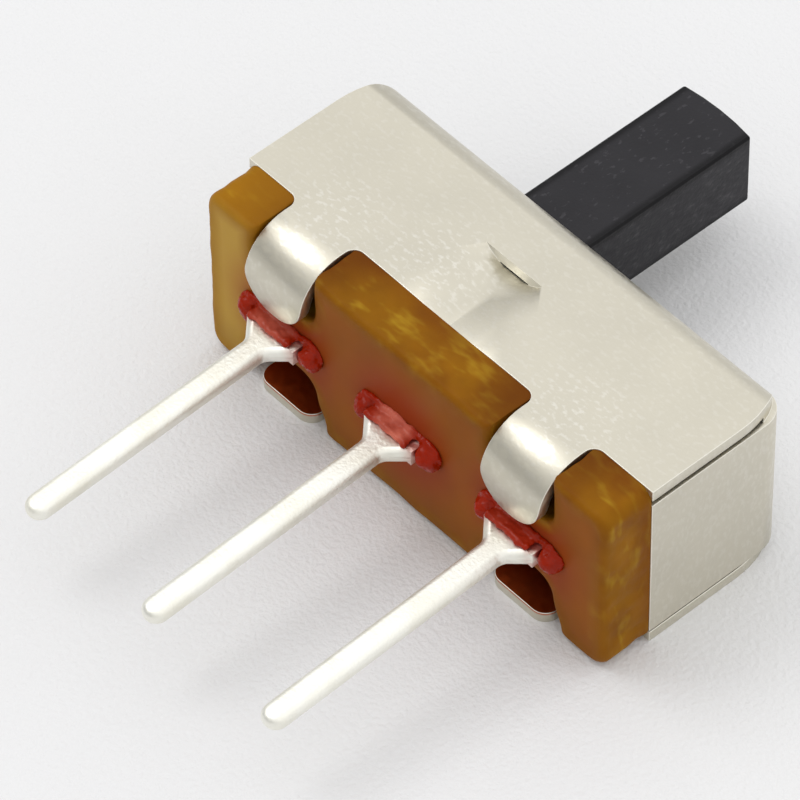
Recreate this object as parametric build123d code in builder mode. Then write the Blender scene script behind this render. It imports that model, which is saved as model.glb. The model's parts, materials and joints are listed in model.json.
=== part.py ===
"""A small two-position slide switch with three pins for a circuit board, lying on one long side.

X runs along the body, Y from the pins to the lever, Z up from the surface that the switch lies on. The origin
is below the middle of the whole switch, pins and lever included. All sizes are in millimetres.
"""

import os
from math import cos, radians, sin

from build123d import *

# Overall sizes
body_length = 8.5
body_width = 3.3
shell_depth = 2.65
board_thickness = 0.88
lever_length = 3.67
pin_length = 4.82
pin_pitch = 2.54
travel = 2.0

# How far a cut runs past what it cuts
cut_overrun = 0.5

# Shell: sheet, bends and corner reliefs
sheet = 0.2
bend_radius = 0.45
seam_gap = 0.1
low_seam_gap = 0.03
relief_length = 0.95
relief_width = 0.48

# Shell: claws over the board, straight lugs below them, and the lanced dents that trap the slider
claw_spacing = 5.02
claw_width = 1.2
claw_shift = -0.04
claw_bend = 0.8
claw_seal_gap = 0.21
claw_root = 0.18
claw_tip_round = 0.55
lug_proud = 0.05
lug_round = 0.25
dent_width = 1.17
dent_depth = 0.25
dent_setback = 1.21
dent_shift = -0.16
dent_edge_share = 2.4
fan_setback = 0.4
fan_width = 1.75
fan_depth = 0.2
fan_shift = -0.11
fan_floor_share = 1.6
run_out_width = 2.4
run_out_depth = 0.08
run_out_shift = 0.03
run_out_floor_share = 2.0

# Base board
board_inset = 0.02
board_corner = 0.25
notch_gap = 0.04
notch_depth = 1.0
notch_taper = 0.4
notch_corner = 0.25
slot_gap = 0.03

# Terminals
terminal_sheet = 0.28
shoulder_width = 1.0
shoulder_proud = 0.27
pin_width = 0.42
pin_root = 0.2
pin_edge = 0.12
pin_droop = 3.0
blade_height = 0.95

# Sealing resin
bead_diameter = 0.42
bead_height = 0.25
bead_spacing = 1.3
ridge_width = 0.46
ridge_height = 0.08
ridge_edge = 0.05
ridge_lift = 0.04
saddle_width = 0.86
saddle_length = 0.3
saddle_height = 0.08
saddle_edge = 0.05
saddle_shift = -0.05

# Slider
lever_width = 1.42
lever_height = 1.38
lever_crown = 0.06
lever_edge = 0.05
slide_gap = 0.04
flange_end_gap = 0.1
flange_side_gap = 0.05
hub_length = 3.9
hub_width = 2.0
hub_board_gap = 0.2

# Moving contact
contact_sheet = 0.12
contact_length = 3.5
contact_gap = 0.03
contact_flare = 0.09
contact_foot = 0.15
contact_pinch = 0.45
contact_web = 0.72
contact_bend = 0.16
finger_split = 1.3
finger_root = 0.3

# Places along Y, from the pins' tips to the lever's tip, with the middle at zero
whole_length = pin_length + board_thickness + shell_depth + lever_length
tip_y = -whole_length / 2
face_y = tip_y + pin_length
rim_y = face_y + board_thickness
front_y = rim_y + shell_depth
lever_tip_y = front_y + lever_length

# Places along Z and X
mid_z = body_width / 2
claw_places = (claw_shift - claw_spacing / 2, claw_shift + claw_spacing / 2)
slider_x = -travel / 2


def across(y):
    """The plane square to the pins at y: sketch x is X, sketch y is Z, and it extrudes towards the pins."""
    return Plane.XZ.offset(-y)


# Shell: a pan with rounded front edges, folded from one sheet
claw_outer_y = face_y - sheet
claw_bend_y = claw_outer_y + claw_bend
claw_bend_z = body_width - claw_bend
claw_reach = body_width - mid_z - ridge_lift - ridge_width / 2 - claw_seal_gap
claw_tip_z = body_width - claw_reach
strip_width = claw_width + 2 * claw_root
flank_x = (claw_width + claw_root) / 2
flank_length = rim_y - claw_root - claw_outer_y + cut_overrun
dent_y = front_y - dent_setback
trough = (
    (dent_y, dent_shift, dent_width, dent_depth, dent_edge_share, 0),
    (dent_y - fan_setback, fan_shift, fan_width, fan_depth, 0, fan_floor_share),
    (rim_y, run_out_shift, run_out_width, run_out_depth, 0, run_out_floor_share),
)
opening_length = lever_width + travel + 2 * slide_gap
opening_width = lever_height + 2 * slide_gap

with BuildPart() as shell:
    with BuildSketch(across(front_y)):
        with Locations((0, mid_z)):
            Rectangle(body_length, body_width)
    extrude(amount=shell_depth)
    fillet(shell.faces().sort_by(Axis.Y)[-1].edges(), bend_radius)
    offset(amount=-sheet, openings=shell.faces().sort_by(Axis.Y)[0])

    # Opening for the lever in the front plate
    with BuildSketch(across(front_y + cut_overrun)):
        with Locations((0, mid_z)):
            Rectangle(opening_length, opening_width)
    extrude(amount=cut_overrun + bend_radius, mode=Mode.SUBTRACT)

    # Seams that free the end flaps from the long walls, and the reliefs where the bends would meet
    high_seam_z = body_width - sheet - seam_gap / 2
    for seam_z, gap in ((sheet + low_seam_gap / 2, low_seam_gap), (high_seam_z, seam_gap)):
        with BuildSketch(across(front_y - relief_length + cut_overrun)):
            with Locations((-body_length / 2, seam_z), (body_length / 2, seam_z)):
                Rectangle(2 * bend_radius, gap)
        extrude(amount=shell_depth - relief_length + 2 * cut_overrun, mode=Mode.SUBTRACT)
    for wall_low, gap in ((-cut_overrun, low_seam_gap), (body_width - sheet - seam_gap, seam_gap)):
        with BuildSketch(Plane.XY.offset(wall_low)):
            for end in (-1, 1):
                with Locations((end * (body_length + cut_overrun) / 2, front_y)):
                    Rectangle(2 * relief_width + cut_overrun, 2 * relief_length)
                with Locations((end * (body_length / 2 - relief_width), front_y - relief_length)):
                    Ellipse(relief_width, relief_length, mode=Mode.SUBTRACT)
        extrude(amount=sheet + gap + cut_overrun, mode=Mode.SUBTRACT)

    # Claws: strips that leave the upper wall and turn down over the board's face
    for claw_x in claw_places:
        with BuildSketch(Plane.YZ.offset(claw_x - strip_width / 2)):
            with BuildLine():
                Line((rim_y + sheet, body_width), (claw_bend_y, body_width))
                CenterArc((claw_bend_y, claw_bend_z), claw_bend, 90, 90)
                Polyline(
                    (claw_outer_y, claw_bend_z),
                    (claw_outer_y, claw_tip_z),
                    (face_y, claw_tip_z),
                    (face_y, claw_bend_z),
                )
                CenterArc((claw_bend_y, claw_bend_z), claw_bend - sheet, 180, -90)
                Polyline(
                    (claw_bend_y, body_width - sheet),
                    (rim_y + sheet, body_width - sheet),
                    (rim_y + sheet, body_width),
                )
            make_face()
        extrude(amount=strip_width)

    # Lugs: straight strips of the lower wall that end just past the board's face
    with BuildSketch(Plane.XY):
        for claw_x in claw_places:
            with Locations((claw_x, rim_y + sheet)):
                Rectangle(strip_width, board_thickness + sheet + lug_proud, align=(Align.CENTER, Align.MAX))
    extrude(amount=sheet)

    # Flanks of the claws and lugs, with round roots
    with BuildSketch(Plane.XY.offset(-cut_overrun)):
        for claw_x in claw_places:
            for side in (-1, 1):
                with Locations((claw_x + side * (claw_width / 2 + claw_root), rim_y - claw_root)):
                    Circle(claw_root)
                with Locations((claw_x + side * flank_x, rim_y - claw_root)):
                    Rectangle(claw_root, flank_length, align=(Align.CENTER, Align.MAX))
    extrude(amount=body_width + 2 * cut_overrun, mode=Mode.SUBTRACT)

    # Round tips of the claws
    with BuildSketch(across(rim_y - claw_root)):
        for claw_x in claw_places:
            with Locations((claw_x, claw_tip_z)):
                Rectangle(strip_width, claw_width)
                RectangleRounded(
                    claw_width,
                    claw_width,
                    claw_tip_round,
                    align=(Align.CENTER, Align.MIN),
                    mode=Mode.SUBTRACT,
                )
    extrude(amount=flank_length, mode=Mode.SUBTRACT)

    # Round corners of the lugs
    with BuildSketch(Plane.XY.offset(-cut_overrun)):
        for claw_x in claw_places:
            with Locations((claw_x, face_y - lug_proud)):
                Rectangle(strip_width, claw_width)
                RectangleRounded(
                    claw_width,
                    claw_width,
                    lug_round,
                    align=(Align.CENTER, Align.MIN),
                    mode=Mode.SUBTRACT,
                )
    extrude(amount=cut_overrun + sheet, mode=Mode.SUBTRACT)

    # Lanced dents: the sheet behind a straight cut is pressed in, as a trough that fans out to the rim
    for wall_z, inward in ((body_width, -1), (0, 1)):
        for stretch in zip(trough, trough[1:]):
            for y, x, width, depth, _, _ in stretch:
                seat_z = wall_z + inward * sheet / 2
                floor_z = wall_z + inward * (sheet + depth)
                half = (width + sheet) / 2
                with BuildSketch(across(y)):
                    with BuildLine():
                        ThreePointArc((x - half, seat_z), (x, floor_z), (x + half, seat_z))
                        Line((x + half, seat_z), (x - half, seat_z))
                    make_face()
            loft()
        for stretch in zip(trough, trough[1:]):
            for y, x, width, depth, edge_share, floor_share in stretch:
                open_z = wall_z - inward * cut_overrun
                floor_z = wall_z + inward * depth
                half = width / 2
                edge_slope = inward * edge_share * depth / half
                floor_slope = inward * floor_share * depth / half
                left, middle, right = (x - half, wall_z), (x, floor_z), (x + half, wall_z)
                with BuildSketch(across(y)):
                    with BuildLine():
                        Spline(left, middle, tangents=[(1, edge_slope), (1, floor_slope)])
                        Spline(middle, right, tangents=[(1, -floor_slope), (1, -edge_slope)])
                        Polyline(right, (x + half, open_z), (x - half, open_z), left)
                    make_face()
            loft(mode=Mode.SUBTRACT)

# Base board: a punched plate on the shell's rim, notched for the claws and lugs, slotted for the terminals
notch_width = claw_width + 2 * notch_gap
root_width = strip_width + 2 * notch_gap
notch_lip = sheet + notch_gap
notch_neck = notch_lip + notch_taper
with BuildPart() as base_board:
    with BuildSketch(across(rim_y)) as board_outline:
        with Locations((0, mid_z)):
            RectangleRounded(body_length - 2 * board_inset, body_width - 2 * board_inset, board_corner)
    extrude(amount=board_thickness)
    with BuildSketch(across(rim_y)) as notches:
        for claw_x in claw_places:
            with Locations((claw_x, 0), (claw_x, body_width)):
                Rectangle(notch_width, 2 * notch_depth)
        inner_corners = notches.vertices().group_by(lambda corner: round(abs(corner.Y - mid_z), 6))[0]
        fillet(inner_corners, notch_corner)

        # The lower notches have wide mouths
        for claw_x in claw_places:
            with Locations((claw_x, 0)):
                Polygon(
                    (-root_width / 2, 0),
                    (root_width / 2, 0),
                    (root_width / 2, notch_lip),
                    (notch_width / 2, notch_neck),
                    (-notch_width / 2, notch_neck),
                    (-root_width / 2, notch_lip),
                    align=None,
                )
    extrude(amount=board_thickness, mode=Mode.SUBTRACT)

    # Pockets in the back for the round roots of the claws
    with BuildSketch(across(rim_y)):
        for claw_x in claw_places:
            with Locations((claw_x, body_width)):
                Rectangle(root_width, 2 * notch_lip)
    extrude(amount=claw_root + notch_gap, mode=Mode.SUBTRACT)

    # Slots for the terminals
    with BuildSketch(across(rim_y)):
        with Locations((-pin_pitch, mid_z), (0, mid_z), (pin_pitch, mid_z)):
            Rectangle(shoulder_width + 2 * slot_gap, terminal_sheet + 2 * slot_gap)
    extrude(amount=board_thickness, mode=Mode.SUBTRACT)

# Terminals: flat blades through the board, with a shoulder that narrows at 45 degrees to a drooping pin
shoulder_y = face_y - shoulder_proud
flank_drop = (shoulder_width - pin_width) / 2
pin_run = (shoulder_y - tip_y) / cos(radians(pin_droop))
blade_length = shoulder_proud + board_thickness + blade_height
lean = (0, -sin(radians(pin_droop)), cos(radians(pin_droop)))
terminal_places = {"left": -pin_pitch, "common": 0, "right": pin_pitch}
terminals = {}
for place, pin_x in terminal_places.items():
    with BuildPart() as terminal:
        with BuildSketch(Plane(origin=(pin_x, shoulder_y, mid_z), x_dir=(1, 0, 0), z_dir=lean)) as pin_blank:
            Polygon(
                (-shoulder_width / 2, pin_edge),
                (-shoulder_width / 2, 0),
                (-pin_width / 2, -flank_drop),
                (pin_width / 2, -flank_drop),
                (shoulder_width / 2, 0),
                (shoulder_width / 2, pin_edge),
                align=None,
            )
            Rectangle(pin_width, pin_run - pin_width / 2, align=(Align.CENTER, Align.MAX))
            with Locations((0, pin_width / 2 - pin_run)):
                Circle(pin_width / 2)
            roots = pin_blank.vertices().filter_by(lambda corner: abs(corner.Y + flank_drop) < pin_edge / 2)
            fillet(roots, pin_root)
        extrude(amount=terminal_sheet / 2, both=True)
        pin_edges = terminal.edges().filter_by(
            lambda edge: edge.center().Y < shoulder_y - flank_drop and edge.length > shoulder_width / 2
        )
        fillet(pin_edges, pin_edge)
        with BuildSketch(Plane(origin=(pin_x, shoulder_y, mid_z), x_dir=(1, 0, 0), z_dir=(0, 0, 1))):
            Rectangle(shoulder_width, blade_length, align=(Align.CENTER, Align.MIN))
        extrude(amount=terminal_sheet / 2, both=True)
    terminals[place] = terminal

# Sealing resin: a low ridge on the board's face along each shoulder, a saddle on it, a bead at each end
seals = {}
for place, pin_x in terminal_places.items():
    with BuildPart() as seal:
        with BuildSketch(across(face_y)):
            with Locations((pin_x, mid_z + ridge_lift)):
                SlotCenterToCenter(bead_spacing, ridge_width)
        extrude(amount=ridge_height)
        fillet(seal.faces().sort_by(Axis.Y)[0].edges(), ridge_edge)
        for bead_x in (pin_x - bead_spacing / 2, pin_x + bead_spacing / 2):
            bead_left = (bead_x - bead_diameter / 2, face_y)
            bead_right = (bead_x + bead_diameter / 2, face_y)
            with BuildSketch(Plane.XY.offset(mid_z)):
                with BuildLine():
                    ThreePointArc(bead_left, (bead_x, face_y - bead_height), bead_right)
                    Line(bead_right, bead_left)
                make_face()
                with Locations((bead_x, face_y)):
                    half_side = (Align.MIN, Align.MAX)
                    Rectangle(bead_diameter / 2, bead_height, align=half_side, mode=Mode.INTERSECT)
            revolve(axis=Axis((bead_x, face_y, mid_z), (0, 1, 0)))
        with BuildSketch(Plane.YZ.offset(pin_x + saddle_shift - saddle_width / 2)) as saddle:
            with Locations((face_y, mid_z)):
                Rectangle(saddle_length, terminal_sheet / 2 + saddle_height, align=(Align.MAX, Align.MIN))
            fillet(saddle.vertices().sort_by(lambda corner: corner.X - corner.Y)[0], saddle_edge)
        extrude(amount=saddle_width)
        with BuildSketch(across(face_y)):
            with Locations((pin_x, mid_z)):
                Rectangle(shoulder_width, terminal_sheet)
        extrude(amount=bead_height + cut_overrun, mode=Mode.SUBTRACT)
    seals[place] = seal

# Slider: a flange trapped between front plate and dents, a hub below it, and the lever outside
flange_length = body_length - 2 * sheet - travel - 2 * flange_end_gap
flange_width = body_width - 2 * sheet - 2 * flange_side_gap
flange_front_y = front_y - sheet - slide_gap
flange_back_y = dent_y + slide_gap
flange_round = bend_radius - sheet + slide_gap
hub_back_y = rim_y + hub_board_gap
web_y = rim_y + blade_height + slide_gap
pocket_y = web_y + contact_sheet + contact_gap
pocket_width = contact_web + 2 * contact_sheet + 2 * contact_gap

with BuildPart() as slider:
    with BuildSketch(across(flange_front_y)):
        with Locations((slider_x, mid_z)):
            Rectangle(flange_length, flange_width)
    extrude(amount=flange_front_y - flange_back_y)
    fillet(slider.faces().sort_by(Axis.Y)[-1].edges(), flange_round)

    # Lever with a crowned tip
    with BuildSketch(Plane.XY.offset(mid_z)):
        with BuildLine():
            crown_y = lever_tip_y - lever_crown
            left_x = slider_x - lever_width / 2
            right_x = slider_x + lever_width / 2
            ThreePointArc((left_x, crown_y), (slider_x, lever_tip_y), (right_x, crown_y))
            Polyline(
                (right_x, crown_y),
                (right_x, flange_back_y),
                (left_x, flange_back_y),
                (left_x, crown_y),
            )
        make_face()
    extrude(amount=lever_height / 2, both=True)
    lever_edges = slider.edges().filter_by(lambda edge: edge.center().Y > front_y)
    fillet(lever_edges, lever_edge)

    # Hub, with a channel over the blades and a pocket that holds the contact
    with BuildSketch(across(flange_back_y)):
        with Locations((slider_x, mid_z)):
            Rectangle(hub_length, hub_width)
    extrude(amount=flange_back_y - hub_back_y)
    with BuildSketch(across(web_y)):
        with Locations((slider_x, mid_z)):
            Rectangle(hub_length, pocket_width)
    extrude(amount=web_y - hub_back_y, mode=Mode.SUBTRACT)
    with BuildSketch(across(pocket_y)):
        with Locations((slider_x, mid_z)):
            Rectangle(contact_length + 2 * contact_gap, pocket_width)
    extrude(amount=pocket_y - hub_back_y, mode=Mode.SUBTRACT)

# Moving contact: a spring strip bent to a U, whose leaves pinch the blades
pinch_half = terminal_sheet / 2 + contact_gap
foot_half = pinch_half + contact_flare
contact_side = [
    (rim_y + contact_foot, foot_half),
    (rim_y + contact_pinch, pinch_half),
    (web_y, contact_web / 2),
]
with BuildPart() as moving_contact:
    with BuildSketch(Plane.YZ.offset(slider_x - contact_length / 2)):
        with BuildLine():
            upper_leaf = [(y, mid_z + half) for y, half in contact_side]
            lower_leaf = [(y, mid_z - half) for y, half in reversed(contact_side)]
            FilletPolyline(*upper_leaf, *lower_leaf, radius=contact_bend)
            offset(amount=contact_sheet, side=Side.LEFT)
        make_face()
    extrude(amount=contact_length)

    # The leaves are split into a finger pair for each blade
    with BuildSketch(across(web_y - finger_root)):
        with Locations((slider_x, mid_z)):
            Rectangle(finger_split, body_width)
    extrude(amount=blade_height, mode=Mode.SUBTRACT)

# Names and files
os.makedirs("parts", exist_ok=True)
pieces = {"shell": shell, "base_board": base_board, "slider": slider, "moving_contact": moving_contact}
pieces.update({f"terminal_{place}": terminal for place, terminal in terminals.items()})
pieces.update({f"seal_{place}": seal for place, seal in seals.items()})
for name, piece in pieces.items():
    piece.part.label = name
    export_step(piece.part, f"parts/{name}.step")
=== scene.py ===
# %% [markdown]
# # A small slide switch on a pale surface
# The switch is a folded tinplate shell with a dark plastic lever, closed at the back by a punched
# laminate board that carries a row of solder pins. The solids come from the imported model, which is
# loaded as a fixed frame. Each step below says what a piece is on the real object, how it could be
# made in Blender, and why it is made this way.

# %% Load the frame
import json
import math

import bmesh
import bpy
from mathutils import Matrix, Vector, noise


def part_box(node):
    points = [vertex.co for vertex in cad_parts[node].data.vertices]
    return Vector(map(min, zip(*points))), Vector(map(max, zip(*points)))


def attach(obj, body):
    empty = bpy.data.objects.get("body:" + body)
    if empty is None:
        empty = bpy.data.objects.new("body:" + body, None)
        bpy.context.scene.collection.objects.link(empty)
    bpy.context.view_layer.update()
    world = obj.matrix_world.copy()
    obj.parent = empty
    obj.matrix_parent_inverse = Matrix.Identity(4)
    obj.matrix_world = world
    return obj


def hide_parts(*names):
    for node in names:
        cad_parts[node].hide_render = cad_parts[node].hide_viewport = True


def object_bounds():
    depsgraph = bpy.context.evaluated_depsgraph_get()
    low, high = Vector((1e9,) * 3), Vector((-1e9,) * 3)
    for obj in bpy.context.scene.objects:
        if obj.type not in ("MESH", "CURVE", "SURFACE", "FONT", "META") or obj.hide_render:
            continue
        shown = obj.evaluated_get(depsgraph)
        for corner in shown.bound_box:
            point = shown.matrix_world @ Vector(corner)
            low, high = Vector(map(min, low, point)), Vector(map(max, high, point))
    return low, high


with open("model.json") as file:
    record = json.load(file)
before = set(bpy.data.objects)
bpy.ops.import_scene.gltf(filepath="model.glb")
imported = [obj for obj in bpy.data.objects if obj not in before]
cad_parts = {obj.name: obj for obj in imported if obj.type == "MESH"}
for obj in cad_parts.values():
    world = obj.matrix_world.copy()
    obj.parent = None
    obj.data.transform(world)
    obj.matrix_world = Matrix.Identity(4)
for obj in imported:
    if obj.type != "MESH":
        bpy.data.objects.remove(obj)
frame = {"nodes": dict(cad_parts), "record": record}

cad_low, cad_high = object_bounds()
MM = 0.001
print("CAD box in mm:", [round(v / MM, 3) for v in (*cad_low, *cad_high)])

# %% [markdown]
# ## Places on the switch
# Every place is read from the frame, so the looks follow the solids when a size changes there. The
# pins' row lies where the record puts its mounts. Meshes are worked on in millimetres, because the
# small distances of bevels and voxels are easier on the numbers there, and each finished mesh is
# scaled back to metres.

# %% Read the places
mounts = {m["name"]: Vector(m["pos_m"]) / MM for m in frame["record"]["mounts"]}
pin_xs = [mounts[name].x for name in ("left_pin", "common_pin", "right_pin")]
pin_pitch = pin_xs[2] - pin_xs[1]
face_y = mounts["common_pin"].y
pin_z = mounts["common_pin"].z
shell_low, shell_high = (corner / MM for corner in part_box("shell"))
board_low, board_high = (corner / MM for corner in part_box("base_board"))
rim_y = board_high.y
print("pins at x", pin_xs, "board face at y", round(face_y, 3), "rim at y", round(rim_y, 3))

shell_points = [vert.co / MM for vert in frame["nodes"]["shell"].data.vertices]
claw_points = [point for point in shell_points if point.y < face_y and point.z > pin_z]
claw_xs = []
for side in (-1, 1):
    flank_xs = [point.x for point in claw_points if point.x * side > 0]
    claw_xs.append((min(flank_xs) + max(flank_xs)) / 2)
print("claws at x", [round(x, 2) for x in claw_xs])

# %% [markdown]
# ## Working on a copy of a solid
# A imported solid is loose triangles, which shade in facets. A copy is merged, its flat triangles are
# joined into whole faces, and its sharp edges get a small round, because no real edge is perfectly
# sharp and the round is what catches the light. The rounded strips are marked in a face attribute,
# so that a finish can colour them: the shell's finish lightens them as wear and painted highlight, and
# the lever's darkens them as painted shade. Modelling each piece again would also work, but the
# solids already have the right shapes.

# %% Helpers for copies
WELD = 0.0005
FLAT_ANGLE = math.radians(0.5)
SHARP_ANGLE = math.radians(50)
ROUND_STEPS = 2
FLAT_SIDE = 0.95


def merged_copy(*nodes):
    """A bmesh in millimetres with the solids of these nodes, merged and with whole flat faces."""
    bm = bmesh.new()
    for name in nodes:
        bm.from_mesh(frame["nodes"][name].data)
    bmesh.ops.scale(bm, vec=Vector((1, 1, 1)) / MM, verts=bm.verts)
    bmesh.ops.remove_doubles(bm, verts=bm.verts, dist=WELD)
    bmesh.ops.dissolve_limit(bm, angle_limit=FLAT_ANGLE, verts=bm.verts, edges=bm.edges)
    return bm


def round_sharp_edges(bm, width):
    """Rounds the sharp edges, and marks the new strips in the face attribute rounded_edge."""
    mark = bm.faces.layers.float.new("rounded_edge")
    bm.normal_update()
    sharp = [e for e in bm.edges if len(e.link_faces) == 2 and e.calc_face_angle() > SHARP_ANGLE]
    made = bmesh.ops.bevel(
        bm,
        geom=sharp,
        offset=width,
        segments=ROUND_STEPS,
        profile=0.5,
        affect="EDGES",
        clamp_overlap=True,
    )
    for face in made["faces"]:
        face[mark] = 1.0
    return len(sharp)


def mark_own_rounds(bm):
    """Marks the strips that the solid itself has between its flat sides."""
    mark = bm.faces.layers.float["rounded_edge"]
    bm.normal_update()
    strips = [f for f in bm.faces if max(abs(part) for part in f.normal) < FLAT_SIDE]
    for face in strips:
        face[mark] = 1.0
    return len(strips)


print("edges over", round(math.degrees(SHARP_ANGLE)), "degrees count as sharp")

# %% Helpers for pieces
def mesh_in_metres(name, bm):
    """A mesh in metres from a bmesh in millimetres, which is used up. Sharp edges stay sharp."""
    bm.normal_update()
    for edge in bm.edges:
        if edge.calc_face_angle(0.0) > SHARP_ANGLE:
            edge.smooth = False
    bmesh.ops.scale(bm, vec=Vector((MM, MM, MM)), verts=bm.verts)
    mesh = bpy.data.meshes.new(name)
    bm.to_mesh(mesh)
    bm.free()
    return mesh


def piece_from_mesh(name, mesh, body, material, replaced):
    """A finished piece from a mesh in metres, which rides on its body in place of replaced nodes."""
    mesh.polygons.foreach_set("use_smooth", [True] * len(mesh.polygons))
    mesh.materials.clear()
    mesh.materials.append(material)
    piece = bpy.data.objects.new(name, mesh)
    bpy.context.scene.collection.objects.link(piece)
    even = piece.modifiers.new("even_normals", "WEIGHTED_NORMAL")
    even.keep_sharp = True
    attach(piece, body)
    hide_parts(*replaced)
    print(name, "has", len(mesh.polygons), "faces")
    return piece


print("pieces are worked on at", round(1 / MM), "units to the metre")

# %% [markdown]
# ## Helpers for finishes
# Materials are node trees on Object coordinates, turned into millimetres first, so that every size
# in a finish is a real one. Three effects serve several finishes and are node groups: a mottle that
# makes a colour uneven, a speckle that gives a mask of small flecks, and a spot that fades out
# round a place. They could be copied into each material, but a group is mended once for all. The
# Principled shader stays in each material.

# %% Node helpers
def add(tree, kind, inputs=None, **settings):
    """A new node with its settings, and each input either linked or set."""
    made = tree.nodes.new(kind)
    for key, value in settings.items():
        setattr(made, key, value)
    for key, value in (inputs or {}).items():
        if isinstance(value, bpy.types.NodeSocket):
            tree.links.new(value, made.inputs[key])
        else:
            made.inputs[key].default_value = value
    return made


def maths(tree, operation, first, second=0.0):
    """One sum."""
    return add(tree, "ShaderNodeMath", {0: first, 1: second}, operation=operation).outputs[0]


def product(tree, *values):
    """All these masks or shares multiplied."""
    result = values[0]
    for value in values[1:]:
        result = maths(tree, "MULTIPLY", result, value)
    return result


def ramped(tree, value, low, high, to_low=0.0, to_high=1.0):
    """A value that goes smoothly from to_low to to_high between low and high."""
    sockets = {"Value": value, "From Min": low, "From Max": high, "To Min": to_low, "To Max": to_high}
    return add(tree, "ShaderNodeMapRange", sockets, interpolation_type="SMOOTHSTEP").outputs[0]


def mixed(tree, share, first, second):
    """The colour between two colours."""
    return add(tree, "ShaderNodeMix", {0: share, 6: first, 7: second}, data_type="RGBA").outputs[2]


print("nodes are added in Blender", bpy.app.version_string)

# %% Finish helpers
def screen(red, green, blue):
    """A colour named by its screen values, as the shader's own linear colour."""
    shares = [v / 255 for v in (red, green, blue)]
    return tuple(s / 12.92 if s <= 0.04045 else ((s + 0.055) / 1.055) ** 2.4 for s in shares) + (1.0,)


def new_finish(name):
    """A material, its tree, its Principled shader and its coordinates in millimetres."""
    material = bpy.data.materials.new(name)
    material.use_nodes = True
    tree = material.node_tree
    where = add(tree, "ShaderNodeTexCoord").outputs["Object"]
    place = add(tree, "ShaderNodeVectorMath", {0: where, "Scale": 1 / MM}, operation="SCALE").outputs[0]
    return material, tree, tree.nodes["Principled BSDF"], place


def stretched(tree, place, along_x, along_y, along_z):
    """Coordinates that draw a pattern out along the axes with a small share."""
    shares = (along_x, along_y, along_z)
    return add(tree, "ShaderNodeVectorMath", {0: place, 1: shares}, operation="MULTIPLY").outputs[0]


def set_relief(tree, shader, height, depth):
    """Bump from a height between nought and one, with its depth in millimetres."""
    bump = add(tree, "ShaderNodeBump", {"Height": height, "Distance": depth * MM, "Strength": 1.0})
    tree.links.new(bump.outputs[0], shader.inputs["Normal"])


print("screen grey 128 is", round(screen(128, 128, 128)[0], 3), "in a shader")

# %% Mottle group
NUMBER, COLOUR, VECTOR = "NodeSocketFloat", "NodeSocketColor", "NodeSocketVector"


def new_group(name, inputs, outputs):
    """An empty shader node group with its named sockets."""
    group = bpy.data.node_groups.new(name, "ShaderNodeTree")
    for label, kind in inputs.items():
        group.interface.new_socket(label, in_out="INPUT", socket_type=kind)
    for label, kind in outputs.items():
        group.interface.new_socket(label, in_out="OUTPUT", socket_type=kind)
    return group, group.nodes.new("NodeGroupInput").outputs, group.nodes.new("NodeGroupOutput").inputs


def sized_noise(tree, given, detail):
    """Noise inside a group, at the size and place that the group is given."""
    scale = maths(tree, "DIVIDE", 1.0, given["Size"])
    sockets = {"Vector": given["Place"], "Scale": scale, "Detail": detail}
    return add(tree, "ShaderNodeTexNoise", sockets).outputs[0]


mottle, given, made = new_group(
    "mottle",
    {"Place": VECTOR, "Colour": COLOUR, "Size": NUMBER, "Strength": NUMBER},
    {"Colour": COLOUR, "Value": NUMBER},
)
noise_value = sized_noise(mottle, given, detail=4.0)
swing = product(mottle, maths(mottle, "SUBTRACT", noise_value, 0.5), given["Strength"])
tone = maths(mottle, "ADD", swing, 1.0)
toned = add(mottle, "ShaderNodeVectorMath", {0: given["Colour"], "Scale": tone}, operation="SCALE")
mottle.links.new(toned.outputs[0], made["Colour"])
mottle.links.new(noise_value, made["Value"])


def mottled(tree, place, colour, size, strength):
    """An uneven colour, and the noise behind it."""
    values = {"Place": place, "Colour": colour, "Size": size, "Strength": strength}
    outputs = add(tree, "ShaderNodeGroup", values, node_tree=mottle).outputs
    return outputs["Colour"], outputs["Value"]


print(mottle.name, "has the sockets", [socket.name for socket in mottle.interface.items_tree])

# %% Speckle group
speckle, given, made = new_group(
    "speckle",
    {"Place": VECTOR, "Size": NUMBER, "Level": NUMBER, "Softness": NUMBER},
    {"Mask": NUMBER, "Value": NUMBER},
)
noise_value = sized_noise(speckle, given, detail=2.0)
speckle_low = maths(speckle, "SUBTRACT", given["Level"], given["Softness"])
speckle_high = maths(speckle, "ADD", given["Level"], given["Softness"])
speckle.links.new(ramped(speckle, noise_value, speckle_low, speckle_high), made["Mask"])
speckle.links.new(noise_value, made["Value"])


def speckled(tree, place, size, level, softness):
    """A mask of flecks, and the noise behind it."""
    values = {"Place": place, "Size": size, "Level": level, "Softness": softness}
    outputs = add(tree, "ShaderNodeGroup", values, node_tree=speckle).outputs
    return outputs["Mask"], outputs["Value"]


print(speckle.name, "has the sockets", [socket.name for socket in speckle.interface.items_tree])

# %% Spot group
spot, given, made = new_group(
    "spot",
    {"Place": VECTOR, "Centre": VECTOR, "Near": NUMBER, "Far": NUMBER, "Share": NUMBER},
    {"Mask": NUMBER},
)
way = add(spot, "ShaderNodeVectorMath", {0: given["Place"], 1: given["Centre"]}, operation="DISTANCE")
spot_mask = ramped(spot, way.outputs["Value"], given["Near"], given["Far"], given["Share"], 0.0)
spot.links.new(spot_mask, made["Mask"])


def spotted(tree, place, centre, near, far, share):
    """A mask with this share near the centre, which fades to nought far from it."""
    values = {"Place": place, "Centre": centre, "Near": near, "Far": far, "Share": share}
    return add(tree, "ShaderNodeGroup", values, node_tree=spot).outputs["Mask"]


print(spot.name, "has the sockets", [socket.name for socket in spot.interface.items_tree])
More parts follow.
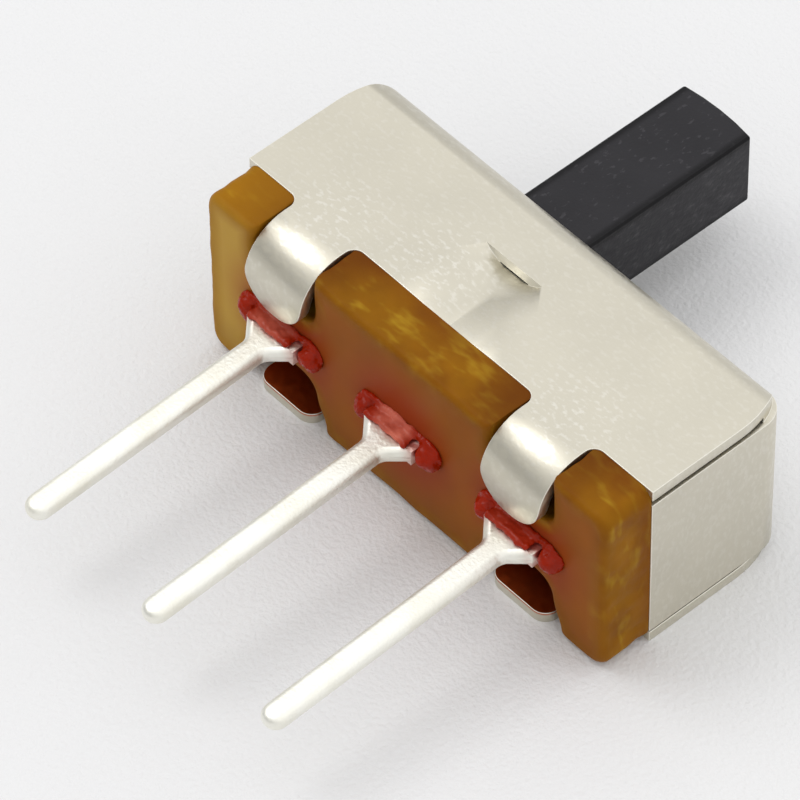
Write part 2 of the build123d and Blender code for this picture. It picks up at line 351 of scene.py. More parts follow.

# %% [markdown]
# ## The plated shell
# The shell is thin steel with a warm, satin tin plating. Its surface is slightly uneven, with small
# bright flecks in the plating, and more flecks are painted as glints by the claws and the dent, where
# the press worked. Its rounded edges are lightened, partly as wear and partly as a painted highlight,
# and the dents' cut faces get the same painted highlight. A metal shows mostly what it mirrors, so the
# finish is a metallic shader with an uneven roughness and a very low relief, rather than only a
# painted colour. The lugs below lie in the shade of the board, and a painted reflection of its red
# brown is mixed into their colour.
#
# In each long wall a dent is cut and pressed in, which traps the slider. Its solid leaves the cut a
# little open. On the real switch it is nearly closed, so the lip is raised here, and the fold along
# the dent gets a sharp edge in the shading, because smooth shading would wash it out. A bump
# couldn't do that without a seam.

# %% Shell finish
PLATE = screen(211, 206, 191)
FLECK_AND_GLINT_WHITE = screen(252, 250, 244)
EDGE_WEAR_AND_HIGHLIGHT = screen(252, 250, 240)
PAINTED_BOARD_REFLECTION = screen(196, 84, 14)
FLECK_SHARE = 0.12
GLINTS_PAST_RIM = 0.1
GLINTS_BY_DENT = (-1.0, 0.6)
LUG_START, LUG_END = 0.05, 0.2
LUG_BOTTOM = (0.14, 0.19)
LUG_TOP = (0.8, 0.6)
shell_finish, tree, shader, place = new_finish("satin_tin_plating")
plate_colour, _ = mottled(tree, place, PLATE, size=1.3, strength=0.16)

fleck_place = stretched(tree, place, 1.0, 1.6, 1.0)
fleck_mask, fleck_value = speckled(tree, fleck_place, size=0.11, level=0.6, softness=0.1)
# Painted glints: more bright flecks by the claws and to the left of the dent.
glint_places = [(claw_x, rim_y + GLINTS_PAST_RIM, shell_high.z) for claw_x in claw_xs]
glint_places.append((GLINTS_BY_DENT[0], rim_y + GLINTS_BY_DENT[1], shell_high.z))
fleck_and_glint_share = FLECK_SHARE
for centre in glint_places:
    glint_spot = spotted(tree, place, centre, near=0.2, far=1.6, share=0.34)
    fleck_and_glint_share = maths(tree, "MAXIMUM", fleck_and_glint_share, glint_spot)
plate_colour = mixed(tree, product(tree, fleck_mask, fleck_and_glint_share), plate_colour, FLECK_AND_GLINT_WHITE)

edge_mark = add(tree, "ShaderNodeAttribute", attribute_name="rounded_edge").outputs["Fac"]
# Edges lightened, partly as wear and partly as a painted highlight.
plate_colour = mixed(tree, product(tree, edge_mark, 0.5), plate_colour, EDGE_WEAR_AND_HIGHLIGHT)
# Painted reflection of the board's red brown on the lugs, which lie in its shade.
split = add(tree, "ShaderNodeSeparateXYZ", {0: place}).outputs
past_rim = ramped(tree, split["Y"], rim_y - LUG_START, rim_y - LUG_END)
off_floor = ramped(tree, split["Z"], *LUG_BOTTOM)
below_pins = ramped(tree, split["Z"], *LUG_TOP)
off_edges = maths(tree, "SUBTRACT", 1.0, edge_mark)
lug_reflection_share = product(tree, past_rim, off_floor, below_pins, off_edges, 0.96)
plate_colour = mixed(tree, lug_reflection_share, plate_colour, PAINTED_BOARD_REFLECTION)

tree.links.new(plate_colour, shader.inputs["Base Color"])
tree.links.new(ramped(tree, edge_mark, 0.0, 1.0, to_low=1.0, to_high=0.5), shader.inputs["Metallic"])
plate_rough = ramped(tree, fleck_value, 0.3, 0.7, to_low=0.42, to_high=0.3)
tree.links.new(plate_rough, shader.inputs["Roughness"])
set_relief(tree, shader, fleck_value, depth=0.0012)
print(shell_finish.name, "has", len(tree.nodes), "nodes")

# %% Dents in the shell
SHEET = 0.2
DENT_SLIT = 0.012
SQUARE_ON = 0.99


def wall_depth(point):
    """How deep a point lies below the nearer of the two long walls' outer sides."""
    return min(shell_high.z - point.z, point.z - shell_low.z)


def in_middle(point):
    """Whether a point lies in the middle half of the shell's length, where the dents are."""
    return abs(point.x) < shell_high.x / 2


def is_dent_cut(face):
    """Whether a face is the front plate's side of a dent's cut."""
    middle = face.calc_center_median()
    faces_pins = face.normal.y < -SQUARE_ON
    between = rim_y + SHEET < middle.y < shell_high.y - 2 * SHEET
    return faces_pins and between and in_middle(middle) and wall_depth(middle) < SHEET


shell_bm = merged_copy("shell")
shell_bm.normal_update()
dent_y = next(face for face in shell_bm.faces if is_dent_cut(face)).calc_center_median().y
# The pressed lip is raised until only a slit is left below the sheet.
for vert in shell_bm.verts:
    sunk = wall_depth(vert.co) - SHEET - DENT_SLIT
    on_lip = abs(vert.co.y - dent_y) < WELD and in_middle(vert.co)
    if on_lip and -DENT_SLIT < sunk < SHEET / 2:
        vert.co.z += sunk if vert.co.z > shell_high.z / 2 else -sunk
print("dents are cut at y", round(dent_y, 3))

# %% Shell
SHELL_EDGE = 0.012
CREASE_ANGLE = math.radians(10)
CREASE_DEPTHS = (0.03, 1.2 * SHEET)
VALLEY_SLANT = 0.16
VALLEY_REACH = 0.2


def in_valley(point):
    """Whether a point lies in a dent, near the line where its two sides meet."""
    deep = CREASE_DEPTHS[0] < wall_depth(point) < CREASE_DEPTHS[1]
    return deep and abs(point.x) < VALLEY_REACH and rim_y - WELD < point.y < dent_y - WELD


print("shell edges rounded:", round_sharp_edges(shell_bm, SHELL_EDGE))
shell_bm.normal_update()
mark = shell_bm.faces.layers.float["rounded_edge"]
# The dents' cut faces get the edge mark too, which paints a highlight on them.
for face in filter(is_dent_cut, shell_bm.faces):
    face[mark] = 1.0
creases = []
for edge in shell_bm.edges:
    first, second = (vert.co for vert in edge.verts)
    along_valley = abs(second.x - first.x) < VALLEY_SLANT * abs(second.y - first.y)
    folded = edge.calc_face_angle(0.0) > CREASE_ANGLE
    if in_valley(first) and in_valley(second) and along_valley and folded:
        creases.append(edge)
for edge in creases:
    edge.smooth = False
print("creases in the dents:", len(creases))
shell_mesh = mesh_in_metres("shell_pressing", shell_bm)
piece_from_mesh("shell_pressing", shell_mesh, "housing", shell_finish, ["shell"])

# %% [markdown]
# ## The punched board
# The board is paper laminate, punched from a sheet. Its face is smooth and brown, stained red round
# the pins, while its cut edge is torn, with pale ochre fibres and dark patches. Painted shade darkens
# the cut edge along the shell's rim and beside the claws. The outline is read from the solid, divided
# finely, and raised in layers through the thickness, so that each layer can be torn a little by a
# noise that stays the same in every run. A bump alone would leave the outline too clean.

# %% Board outline
def face_outline(bm, y):
    """The outer outline of the flat face at y, as points in order."""
    def in_face(f):
        return abs(f.calc_center_median().y - y) < WELD and abs(f.normal.y) > SQUARE_ON

    bm.normal_update()
    links = {}
    for edge in bm.edges:
        if sum(in_face(f) for f in edge.link_faces) == 1:
            first, second = edge.verts
            links.setdefault(first, []).append(second)
            links.setdefault(second, []).append(first)
    start = min(links, key=lambda v: v.co.x)
    loop, last = [start], None
    while True:
        onward = [v for v in links[loop[-1]] if v is not last]
        last = loop[-1]
        if onward[0] is start:
            break
        loop.append(onward[0])
    return [Vector((v.co.x, v.co.z)) for v in loop]


def divided(points, step):
    """The closed outline with points at even steps."""
    ring = points + points[:1]
    lengths = [(b - a).length for a, b in zip(ring, ring[1:])]
    count = int(sum(lengths) / step)
    spacing = sum(lengths) / count
    result, run, i = [], 0.0, 0
    for n in range(count):
        goal = n * spacing
        while run + lengths[i] < goal:
            run += lengths[i]
            i += 1
        result.append(ring[i].lerp(ring[i + 1], (goal - run) / lengths[i]))
    return result


OUTLINE_STEP = 0.035
board_bm = merged_copy("base_board")
outline = divided(face_outline(board_bm, face_y), OUTLINE_STEP)
board_bm.free()
area = sum(a.x * b.y - b.x * a.y for a, b in zip(outline, outline[1:] + outline[:1])) / 2
if area < 0:
    outline.reverse()
print("board outline:", len(outline), "points, area", round(abs(area), 2), "mm2")

# %% Board face colours
FACE_BROWN = screen(140, 78, 16)
EAR_OLIVE = screen(188, 150, 62)
LOW_BROWN = screen(120, 72, 20)
RESIN_STAIN = screen(146, 44, 26)
EAR_START, EAR_END = -2.5, -3.6
LOW_START = 1.1
board_finish, tree, shader, place = new_finish("punched_laminate")
split = add(tree, "ShaderNodeSeparateXYZ", {0: place}).outputs
face_colour, _ = mottled(tree, place, FACE_BROWN, size=0.8, strength=0.4)
ear_share = ramped(tree, split["X"], EAR_START, EAR_END, to_high=0.9)
face_colour = mixed(tree, ear_share, face_colour, EAR_OLIVE)
low_share = ramped(tree, split["Z"], LOW_START, board_low.z, to_high=0.4)
face_colour = mixed(tree, low_share, face_colour, LOW_BROWN)
for pin_x in pin_xs:
    stain = spotted(tree, place, (pin_x, face_y, pin_z), near=0.5, far=1.5, share=0.7)
    face_colour = mixed(tree, stain, face_colour, RESIN_STAIN)
print("board face stained round", len(pin_xs), "pins")

# %% Board edge colours
CUT_OCHRE = screen(136, 88, 10)
FIBRE_YELLOW = screen(184, 150, 40)
BURNT_BROWN = screen(106, 52, 6)
RIM_SHADE_BROWN = screen(108, 54, 8)
CLAW_SHADE = screen(92, 42, 4)
EAR_AMBER = screen(172, 120, 22)
RIM_BAND = 0.4
cut_colour, _ = mottled(tree, place, CUT_OCHRE, size=0.5, strength=0.5)
fibre_place = stretched(tree, place, 0.4, 1.0, 0.4)
fibre_mask, fibre_value = speckled(tree, fibre_place, size=0.2, level=0.62, softness=0.14)
cut_colour = mixed(tree, product(tree, fibre_mask, 0.5), cut_colour, FIBRE_YELLOW)
burnt_mask, _ = speckled(tree, place, size=0.7, level=0.54, softness=0.16)
cut_colour = mixed(tree, product(tree, burnt_mask, 0.45), cut_colour, BURNT_BROWN)
# Painted shade: darker towards the shell's rim, and beside the claws where their shadows fall.
rim_shade_share = ramped(tree, split["Y"], rim_y - RIM_BAND, rim_y, to_high=0.4)
cut_colour = mixed(tree, rim_shade_share, cut_colour, RIM_SHADE_BROWN)
for claw_x in claw_xs:
    shade = spotted(tree, place, (claw_x, rim_y, board_high.z), near=0.8, far=1.6, share=0.65)
    cut_colour = mixed(tree, shade, cut_colour, CLAW_SHADE)
cut_colour = mixed(tree, product(tree, ear_share, 0.5), cut_colour, EAR_AMBER)

cut_mark = add(tree, "ShaderNodeAttribute", attribute_name="cut_edge").outputs["Fac"]
tree.links.new(mixed(tree, cut_mark, face_colour, cut_colour), shader.inputs["Base Color"])
tree.links.new(ramped(tree, cut_mark, 0.0, 1.0, to_low=0.42, to_high=0.5), shader.inputs["Roughness"])
shader.inputs["Specular IOR Level"].default_value = 0.06
relief_share = ramped(tree, cut_mark, 0.0, 1.0, to_low=0.15, to_high=1.0)
set_relief(tree, shader, product(tree, fibre_value, relief_share), depth=0.02)
print(board_finish.name, "has", len(tree.nodes), "nodes")

# %% Board levels
BOARD_LAYERS = 16
ROLL_STEPS = 6
EDGE_ROLL = 0.12
FACE_MARGINS = (0.07, 0.15, 0.24)
FACE_CUT_SHARE = 0.6
wall_end = face_y + EDGE_ROLL
# Each level has its place along Y, how far it is drawn in, and how much of a cut it shows.
levels = [(rim_y + (wall_end - rim_y) * n / BOARD_LAYERS, 0.0, 1.0) for n in range(BOARD_LAYERS)]
for n in range(ROLL_STEPS + 1):
    angle = math.pi / 2 * n / ROLL_STEPS
    roll_y = wall_end - EDGE_ROLL * math.sin(angle)
    cut_share = 1 - (1 - FACE_CUT_SHARE) * n / ROLL_STEPS
    levels.append((roll_y, EDGE_ROLL * (1 - math.cos(angle)), cut_share))
for margin in FACE_MARGINS:
    levels.append((face_y, EDGE_ROLL + margin, FACE_CUT_SHARE * (1 - margin / FACE_MARGINS[-1])))
print("board levels:", len(levels))

# %% Board tearing
TEAR_DEPTH = 0.05
TEAR_BIAS = 0.3
TEAR_START = 6
TEAR_NOISES = ((1.7, 0.6), (5.0, 0.4))
TURN_SPREAD = 120
ROLL_SPREAD = 24


def blurred(vectors, rounds):
    """The vectors around a closed outline, each spread over its neighbours."""
    for _ in range(rounds):
        around = zip(vectors[-1:] + vectors[:-1], vectors, vectors[1:] + vectors[:1])
        vectors = [(before + 2 * here + after) / 4 for before, here, after in around]
    return vectors


def torn_depth(point):
    """How far the cut is torn in at a point: nothing at the rim, and more towards the face."""
    depth_share = (rim_y - point.y) / (rim_y - face_y)
    rough = sum(noise.noise(point * fineness) * share for fineness, share in TEAR_NOISES)
    return TEAR_DEPTH * max(0.0, TEAR_BIAS + rough) * min(1.0, TEAR_START * depth_share)


runs = [after - before for before, after in zip(outline[-1:] + outline[:-1], outline[1:] + outline[:1])]
turns = blurred([Vector((-run.y, run.x)).normalized() for run in runs], TURN_SPREAD)
inwards = [turn.normalized() for turn in turns]
print("outline turns in at", len(inwards), "points")

# %% Board
board_bm = bmesh.new()
cut_layer = board_bm.verts.layers.float.new("cut_edge")
rings = []
for y, inset, cut in levels:
    torn = []
    for flat, inward in zip(outline, inwards):
        torn.append(flat + inward * (torn_depth(Vector((flat.x, y, flat.y))) + inset))
    ring = []
    for flat in blurred(torn, round(ROLL_SPREAD * inset / EDGE_ROLL)):
        vert = board_bm.verts.new((flat.x, y, flat.y))
        vert[cut_layer] = cut
        ring.append(vert)
    rings.append(ring)
for near, far in zip(rings, rings[1:]):
    for i in range(len(near)):
        board_bm.faces.new((near[i - 1], near[i], far[i], far[i - 1]))
board_bm.faces.new(rings[0])
board_bm.faces.new(rings[-1])
bmesh.ops.recalc_face_normals(board_bm, faces=board_bm.faces)
board_mesh = mesh_in_metres("punched_board", board_bm)
piece_from_mesh("punched_board", board_mesh, "housing", board_finish, ["base_board"])

# %% [markdown]
# ## The row of pins
# The pins are one punched terminal repeated along the board, in frosted tin. Geometry Nodes repeat
# a single mesh on a line of points, with the pitch and the count as inputs, so that another row
# needs only other numbers. Copies by hand would do for three pins. The tree ends with Realize
# Instances and Set Material, and its result becomes a plain mesh.

# %% Pin finish
TIN_WHITE = screen(247, 246, 238)
TIN_WARM = screen(226, 221, 200)
FLUX_RED = screen(190, 78, 60)
FLUX_START, FLUX_END = 0.42, 0.12
pin_finish, tree, shader, place = new_finish("bright_tin_pins")
drawn_place = stretched(tree, place, 1.0, 0.12, 1.0)
pin_colour, pin_value = mottled(tree, drawn_place, TIN_WHITE, size=0.16, strength=0.12)
warm_mask, _ = speckled(tree, place, size=0.6, level=0.52, softness=0.16)
pin_colour = mixed(tree, product(tree, warm_mask, 0.3), pin_colour, TIN_WARM)
split = add(tree, "ShaderNodeSeparateXYZ", {0: place}).outputs
flux_mask, _ = speckled(tree, place, size=0.3, level=0.48, softness=0.1)
near_board = ramped(tree, split["Y"], face_y - FLUX_START, face_y - FLUX_END)
pin_colour = mixed(tree, product(tree, flux_mask, near_board, 0.8), pin_colour, FLUX_RED)
tree.links.new(pin_colour, shader.inputs["Base Color"])
shader.inputs["Metallic"].default_value = 1.0
tree.links.new(ramped(tree, pin_value, 0.3, 0.7, to_low=0.38, to_high=0.52), shader.inputs["Roughness"])
_, frost_value = speckled(tree, place, size=0.05, level=0.5, softness=0.2)
set_relief(tree, shader, frost_value, depth=0.005)
print(pin_finish.name, "has", len(tree.nodes), "nodes")

# %% Tree helpers
def end_tree(group, last, given, made):
    """Ends a tree with real geometry in the given finish."""
    real = add(group, "GeometryNodeRealizeInstances", {0: last.outputs[0]})
    sockets = {"Geometry": real.outputs[0], "Material": given.outputs["Finish"]}
    coated = add(group, "GeometryNodeSetMaterial", sockets)
    group.links.new(coated.outputs[0], made.inputs[0])


def plain_mesh(name, source, tree, values):
    """The mesh that a tree makes from a source mesh."""
    holder = bpy.data.objects.new(name + "_source", source)
    bpy.context.scene.collection.objects.link(holder)
    modifier = holder.modifiers.new(tree.name, "NODES")
    modifier.node_group = tree
    for identifier, value in values.items():
        modifier[identifier] = value
    graph = bpy.context.evaluated_depsgraph_get()
    mesh = bpy.data.meshes.new_from_object(holder.evaluated_get(graph), depsgraph=graph)
    mesh.name = name
    bpy.data.objects.remove(holder)
    return mesh


print("trees so far:", [group.name for group in bpy.data.node_groups])

# %% Pin row tree
def row_tree():
    """Repeats the given mesh on a centred line of points along X."""
    group = bpy.data.node_groups.new("pin_row", "GeometryNodeTree")
    group.interface.new_socket("Geometry", in_out="INPUT", socket_type="NodeSocketGeometry")
    pitch = group.interface.new_socket("Pitch", in_out="INPUT", socket_type="NodeSocketFloat")
    count = group.interface.new_socket("Count", in_out="INPUT", socket_type="NodeSocketInt")
    finish = group.interface.new_socket("Finish", in_out="INPUT", socket_type="NodeSocketMaterial")
    group.interface.new_socket("Geometry", in_out="OUTPUT", socket_type="NodeSocketGeometry")
    given = group.nodes.new("NodeGroupInput")
    made = group.nodes.new("NodeGroupOutput")
    gaps = maths(group, "SUBTRACT", given.outputs["Count"], 1.0)
    reach = product(group, gaps, given.outputs["Pitch"], -0.5)
    start = add(group, "ShaderNodeCombineXYZ", {"X": reach})
    step = add(group, "ShaderNodeCombineXYZ", {"X": given.outputs["Pitch"]})
    line = add(
        group,
        "GeometryNodeMeshLine",
        {"Count": given.outputs["Count"], "Start Location": start.outputs[0], "Offset": step.outputs[0]},
    )
    copies = add(
        group,
        "GeometryNodeInstanceOnPoints",
        {"Points": line.outputs[0], "Instance": given.outputs["Geometry"]},
    )
    end_tree(group, copies, given, made)
    return group, {"pitch": pitch.identifier, "count": count.identifier, "finish": finish.identifier}


pin_tree, pin_ids = row_tree()
print(pin_tree.name, "has", len(pin_tree.nodes), "nodes")

# %% Pins
PIN_EDGE = 0.012
pin_bm = merged_copy("terminal_common")
print("pin edges rounded:", round_sharp_edges(pin_bm, PIN_EDGE))
one_pin = mesh_in_metres("one_pin", pin_bm)
pin_values = {
    pin_ids["pitch"]: pin_pitch * MM,
    pin_ids["count"]: len(pin_xs),
    pin_ids["finish"]: pin_finish,
}
pins_mesh = plain_mesh("solder_pins", one_pin, pin_tree, pin_values)
pin_nodes = ["terminal_left", "terminal_common", "terminal_right"]
piece_from_mesh("solder_pins", pins_mesh, "housing", pin_finish, pin_nodes)

# %% [markdown]
# ## The sealing resin
# A drop of red resin seals each terminal where it leaves the board. It has run and set, so its
# forms flow into each other. Geometry Nodes turn the solids' beads and ridges into a volume and
# back, which melts them together, then soften the surface and swell it unevenly. Sculpting would
# give the same look, but not the same result in every run.

# %% Resin finish
RESIN_RED = screen(148, 30, 3)
FILM_PINK = screen(206, 112, 92)
FILM_SHARES = (0.6, 1.0, 0.15)
FILM_OFFSET = Vector((-0.05, -0.16, 0.22))
resin_finish, tree, shader, place = new_finish("red_sealing_resin")
resin_colour, resin_value = mottled(tree, place, RESIN_RED, size=0.3, strength=0.6)
film_mask, _ = speckled(tree, place, size=0.6, level=0.5, softness=0.25)
for pin_x, share in zip(pin_xs, FILM_SHARES):
    film_place = Vector((pin_x, face_y, pin_z)) + FILM_OFFSET
    film = spotted(tree, place, film_place, near=0.26, far=0.5, share=share)
    resin_colour = mixed(tree, product(tree, film, film_mask), resin_colour, FILM_PINK)
tree.links.new(resin_colour, shader.inputs["Base Color"])
tree.links.new(ramped(tree, resin_value, 0.3, 0.7, to_low=0.1, to_high=0.22), shader.inputs["Roughness"])
shader.inputs["Specular IOR Level"].default_value = 0.14
set_relief(tree, shader, resin_value, depth=0.01)
print(resin_finish.name, "has", len(tree.nodes), "nodes")

# %% Resin tree
SKIN_LEVEL = 0.1
SOFTENING_ROUNDS = 3
LUMP_SCALE = 5.0


def resin_tree():
    """Melts the given meshes together and swells them unevenly, in millimetres."""
    group = bpy.data.node_groups.new("resin_flow", "GeometryNodeTree")
    group.interface.new_socket("Geometry", in_out="INPUT", socket_type="NodeSocketGeometry")
    voxel = group.interface.new_socket("Voxel", in_out="INPUT", socket_type="NodeSocketFloat")
    swell = group.interface.new_socket("Swell", in_out="INPUT", socket_type="NodeSocketFloat")
    finish = group.interface.new_socket("Finish", in_out="INPUT", socket_type="NodeSocketMaterial")
    group.interface.new_socket("Geometry", in_out="OUTPUT", socket_type="NodeSocketGeometry")
    given = group.nodes.new("NodeGroupInput")
    made = group.nodes.new("NodeGroupOutput")
    volume = add(group, "GeometryNodeMeshToVolume", resolution_mode="VOXEL_SIZE")
    group.links.new(given.outputs["Geometry"], volume.inputs["Mesh"])
    for target in ("Voxel Size", "Interior Band Width"):
        group.links.new(given.outputs["Voxel"], volume.inputs[target])
    skin = add(group, "GeometryNodeVolumeToMesh", {"Volume": volume.outputs[0], "Threshold": SKIN_LEVEL})
    position = add(group, "GeometryNodeInputPosition")
    rounds = {"Iterations": SOFTENING_ROUNDS}
    soft = add(group, "GeometryNodeBlurAttribute", rounds, data_type="FLOAT_VECTOR")
    vector_in = next(s for s in soft.inputs if s.name == "Value" and s.enabled)
    group.links.new(position.outputs[0], vector_in)
    vector_out = next(s for s in soft.outputs if s.enabled)
    sockets = {"Geometry": skin.outputs[0], "Position": vector_out}
    softened = add(group, "GeometryNodeSetPosition", sockets)
    lumps = add(
        group,
        "ShaderNodeTexNoise",
        {"Vector": position.outputs[0], "Scale": LUMP_SCALE, "Detail": 2.0},
    )
    push = product(group, maths(group, "SUBTRACT", lumps.outputs[0], 0.5), given.outputs["Swell"])
    out = add(group, "GeometryNodeInputNormal")
    offset = add(group, "ShaderNodeVectorMath", {0: out.outputs[0], "Scale": push}, operation="SCALE")
    sockets = {"Geometry": softened.outputs[0], "Offset": offset.outputs[0]}
    swollen = add(group, "GeometryNodeSetPosition", sockets)
    end_tree(group, swollen, given, made)
    return group, {"voxel": voxel.identifier, "swell": swell.identifier, "finish": finish.identifier}


flow_tree, flow_ids = resin_tree()
print(flow_tree.name, "has", len(flow_tree.nodes), "nodes")

# %% Resin
RESIN_VOXEL = 0.018
RESIN_SWELL = 0.13
seal_nodes = ["seal_left", "seal_common", "seal_right"]
seal_bm = merged_copy(*seal_nodes)
seal_source = bpy.data.meshes.new("seal_source")
seal_bm.to_mesh(seal_source)
seal_bm.free()
flow_values = {
    flow_ids["voxel"]: RESIN_VOXEL,
    flow_ids["swell"]: RESIN_SWELL,
    flow_ids["finish"]: resin_finish,
}
resin_mesh = plain_mesh("sealing_resin", seal_source, flow_tree, flow_values)
resin_mesh.transform(Matrix.Scale(MM, 4))
piece_from_mesh("sealing_resin", resin_mesh, "housing", resin_finish, seal_nodes)

# %% [markdown]
# ## The slider and its lever
# The lever is moulded in a nearly black plastic with a fine satin grain and faint scuffs from
# handling. Its edges look darker than its sides, and this is painted as shade: on the rounded strips,
# and in a soft band. The band is measured from the lever's own long edges, so it needs no painted
# texture and moves with the piece.

# %% Lever finish
LEVER_BLACK = screen(44, 43, 46)
SCUFF_GREY = screen(84, 82, 86)
EDGE_SHADE_BLACK = screen(6, 6, 7)
BAND_SHADE_BLACK = screen(12, 11, 13)
BAND_NEAR, BAND_FAR = 0.06, 0.17
lever_finish, tree, shader, place = new_finish("black_satin_plastic")
lever_colour, _ = mottled(tree, place, LEVER_BLACK, size=0.8, strength=0.4)
scuff_place = stretched(tree, place, 1.0, 0.6, 1.0)
scuff_mask, scuff_value = speckled(tree, scuff_place, size=0.08, level=0.66, softness=0.06)
lever_colour = mixed(tree, product(tree, scuff_mask, 0.3), lever_colour, SCUFF_GREY)
edge_mark = add(tree, "ShaderNodeAttribute", attribute_name="rounded_edge").outputs["Fac"]
# Painted shade on the rounded edge strips.
lever_colour = mixed(tree, product(tree, edge_mark, 0.9), lever_colour, EDGE_SHADE_BLACK)

# Painted shade in a soft band along the lever's long edges.
slider_points = [vert.co / MM for vert in frame["nodes"]["slider"].data.vertices]
lever_points = [point for point in slider_points if point.y > shell_high.y]
split = add(tree, "ShaderNodeSeparateXYZ", {0: place}).outputs
to_sides = []
for axis, letter in ((0, "X"), (2, "Z")):
    low, high = (limit(point[axis] for point in lever_points) for limit in (min, max))
    off_middle = maths(tree, "ABSOLUTE", maths(tree, "SUBTRACT", split[letter], (high + low) / 2))
    to_sides.append(maths(tree, "SUBTRACT", (high - low) / 2, off_middle))
off_corner = add(tree, "ShaderNodeCombineXYZ", {"X": to_sides[0], "Y": to_sides[1]}).outputs[0]
off_edge = add(tree, "ShaderNodeVectorMath", {0: off_corner}, operation="LENGTH").outputs["Value"]
shade_band_share = ramped(tree, off_edge, BAND_NEAR, BAND_FAR, to_low=0.75, to_high=0.0)
lever_colour = mixed(tree, shade_band_share, lever_colour, BAND_SHADE_BLACK)

tree.links.new(lever_colour, shader.inputs["Base Color"])
tree.links.new(ramped(tree, scuff_value, 0.3, 0.7, to_low=0.5, to_high=0.36), shader.inputs["Roughness"])
shader.inputs["Specular IOR Level"].default_value = 0.15
_, grain_value = speckled(tree, place, size=0.05, level=0.5, softness=0.2)
set_relief(tree, shader, grain_value, depth=0.004)
print(lever_finish.name, "has", len(tree.nodes), "nodes")

# %% Slider
SLIDER_EDGE = 0.02
slider_bm = merged_copy("slider")
print("slider edges rounded:", round_sharp_edges(slider_bm, SLIDER_EDGE))
print("slider strips marked:", mark_own_rounds(slider_bm))
slider_mesh = mesh_in_metres("slider_moulding", slider_bm)
piece_from_mesh("slider_moulding", slider_mesh, "slider", lever_finish, ["slider"])

# %% [markdown]
# ## The contact spring
# The contact is a bent clip of spring brass inside the shell. It could be folded anew from a strip,
# but its solid is already right and hardly ever seen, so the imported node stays. It only gets a
# finish, whose fine lines run the way the strip was rolled.

# %% Spring finish
ROLLED_BRASS = screen(214, 182, 112)
spring_finish, tree, shader, place = new_finish("rolled_spring_brass")
rolled_place = stretched(tree, place, 0.1, 1.0, 1.0)
spring_colour, spring_value = mottled(tree, rolled_place, ROLLED_BRASS, size=0.1, strength=0.3)
tree.links.new(spring_colour, shader.inputs["Base Color"])
shader.inputs["Metallic"].default_value = 1.0
spring_rough = ramped(tree, spring_value, 0.3, 0.7, to_low=0.22, to_high=0.36)
tree.links.new(spring_rough, shader.inputs["Roughness"])
spring = frame["nodes"]["moving_contact"]
spring.data.materials.clear()
spring.data.materials.append(spring_finish)
print(spring_finish.name, "on", spring.name)

# %% [markdown]
# ## Floor, light and camera
# The switch lies on a plain pale surface in soft light. The surroundings do most of the work,
# because plated metal needs something pale to mirror. They are brighter above and to one side, so
# that the two sides of a fold differ. One small soft lamp stands where the claws' upper bends
# mirror it towards the camera. The camera stands where the photo's did.

# %% Floor
FLOOR_HALF = 0.25
PAPER_WHITE = screen(228, 228, 229)
floor_mesh = bpy.data.meshes.new("floor")
corner_signs = ((-1, -1), (1, -1), (1, 1), (-1, 1))
corners = [(x * FLOOR_HALF, y * FLOOR_HALF, cad_low.z) for x, y in corner_signs]
floor_mesh.from_pydata(corners, [], [(0, 1, 2, 3)])
floor = bpy.data.objects.new("floor", floor_mesh)
bpy.context.scene.collection.objects.link(floor)
floor_finish, tree, shader, place = new_finish("pale_paper")
paper_colour, _ = mottled(tree, place, PAPER_WHITE, size=2.5, strength=0.03)
tree.links.new(paper_colour, shader.inputs["Base Color"])
shader.inputs["Roughness"].default_value = 0.6
_, paper_grain = speckled(tree, place, size=0.09, level=0.62, softness=0.05)
set_relief(tree, shader, paper_grain, depth=0.02)
floor_mesh.materials.append(floor_finish)
print("floor is", 2 * FLOOR_HALF, "m wide")

# %% Light
BRIGHT_SIDE = (0.3, 0.3, 0.906)
ROOM_DIM = (0.42, 0.42, 0.41, 1.0)
ROOM_BRIGHT = (1.15, 1.15, 1.15, 1.0)
LAMP_PLACE = (-0.144, -0.066, 0.255)
LAMP_SIZE = 0.15
LAMP_POWER = 0.2
world = bpy.data.worlds.new("pale_room")
bpy.context.scene.world = world
world.use_nodes = True
room = world.node_tree
toward = add(room, "ShaderNodeTexCoord").outputs["Generated"]
facing = add(room, "ShaderNodeVectorMath", {0: toward, 1: BRIGHT_SIDE}, operation="DOT_PRODUCT")
bright_share = ramped(room, facing.outputs["Value"], low=-0.4, high=1.0)
room_colour = mixed(room, bright_share, ROOM_DIM, ROOM_BRIGHT)
room.links.new(room_colour, room.nodes["Background"].inputs["Color"])
room.nodes["Background"].inputs["Strength"].default_value = 1.0
lamp_data = bpy.data.lights.new("soft_lamp", "AREA")
lamp_data.size = LAMP_SIZE
lamp_data.energy = LAMP_POWER
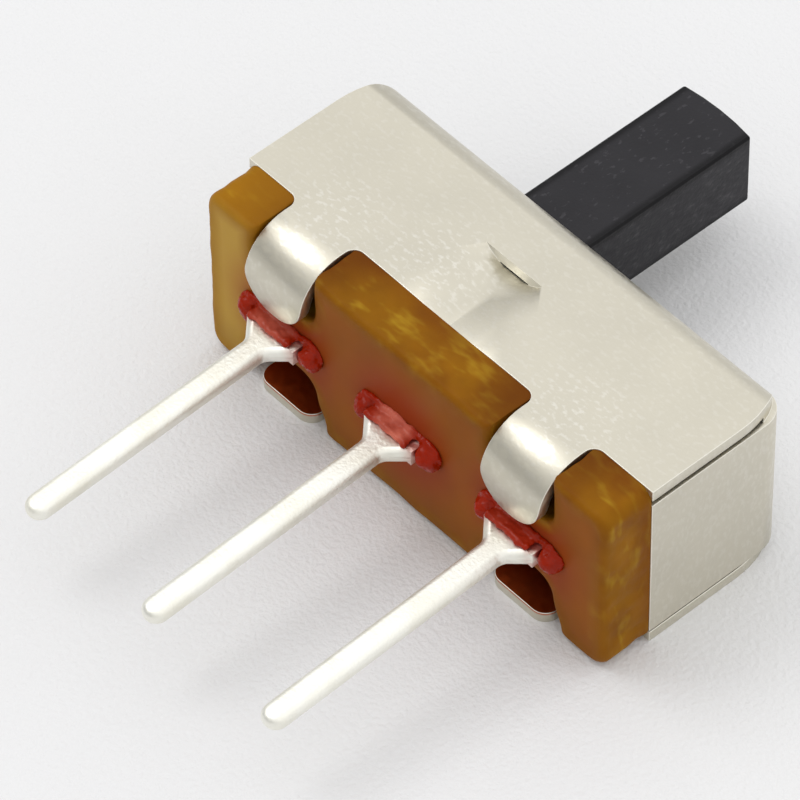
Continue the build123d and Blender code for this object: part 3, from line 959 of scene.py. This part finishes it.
lamp = bpy.data.objects.new("soft_lamp", lamp_data)
bpy.context.scene.collection.objects.link(lamp)
lamp.location = LAMP_PLACE
lamp.rotation_euler = (-lamp.location).to_track_quat("-Z", "Y").to_euler()
bpy.context.scene.view_settings.view_transform = "Standard"
print("lamp at", LAMP_PLACE, "m,", LAMP_SIZE, "m wide")

# %% Camera
PICTURE_SIDE = 800.0
VIEW_AZIMUTH = math.radians(47.59)
VIEW_ELEVATION = math.radians(49.14)
VIEW_DISTANCE = 100.0
PIXELS_PER_MM = 69.70
FOCUS = Vector((0.0, rim_y + 1.0, 1.8))
FOCUS_IN_PICTURE = (499.0, 355.2)
SENSOR_WIDTH = 36.0
CLIP_RANGE = (0.005, 10.0)
right = Vector((math.cos(VIEW_AZIMUTH), math.sin(VIEW_AZIMUTH), 0.0))
level = Vector((math.sin(VIEW_AZIMUTH), -math.cos(VIEW_AZIMUTH), 0.0))
back = level * math.cos(VIEW_ELEVATION) + Vector((0.0, 0.0, math.sin(VIEW_ELEVATION)))
up = back.cross(right)
camera_place = FOCUS + back * VIEW_DISTANCE
aside = (FOCUS_IN_PICTURE[0] - PICTURE_SIDE / 2) / PIXELS_PER_MM
above = (PICTURE_SIDE / 2 - FOCUS_IN_PICTURE[1]) / PIXELS_PER_MM
camera_back = (camera_place - (FOCUS - right * aside - up * above)).normalized()
camera_right = up.cross(camera_back).normalized()
camera_up = camera_back.cross(camera_right)
camera_data = bpy.data.cameras.new("camera")
camera_data.sensor_width = SENSOR_WIDTH
camera_data.lens = SENSOR_WIDTH * PIXELS_PER_MM * VIEW_DISTANCE / PICTURE_SIDE
camera_data.clip_start, camera_data.clip_end = CLIP_RANGE
camera = bpy.data.objects.new("camera", camera_data)
bpy.context.scene.collection.objects.link(camera)
turn = Matrix((camera_right, camera_up, camera_back)).transposed().to_4x4()
camera.matrix_world = Matrix.Translation(camera_place * MM) @ turn
bpy.context.scene.camera = camera
print("camera", round(camera_data.lens, 1), "mm lens at", [round(v, 2) for v in camera_place])
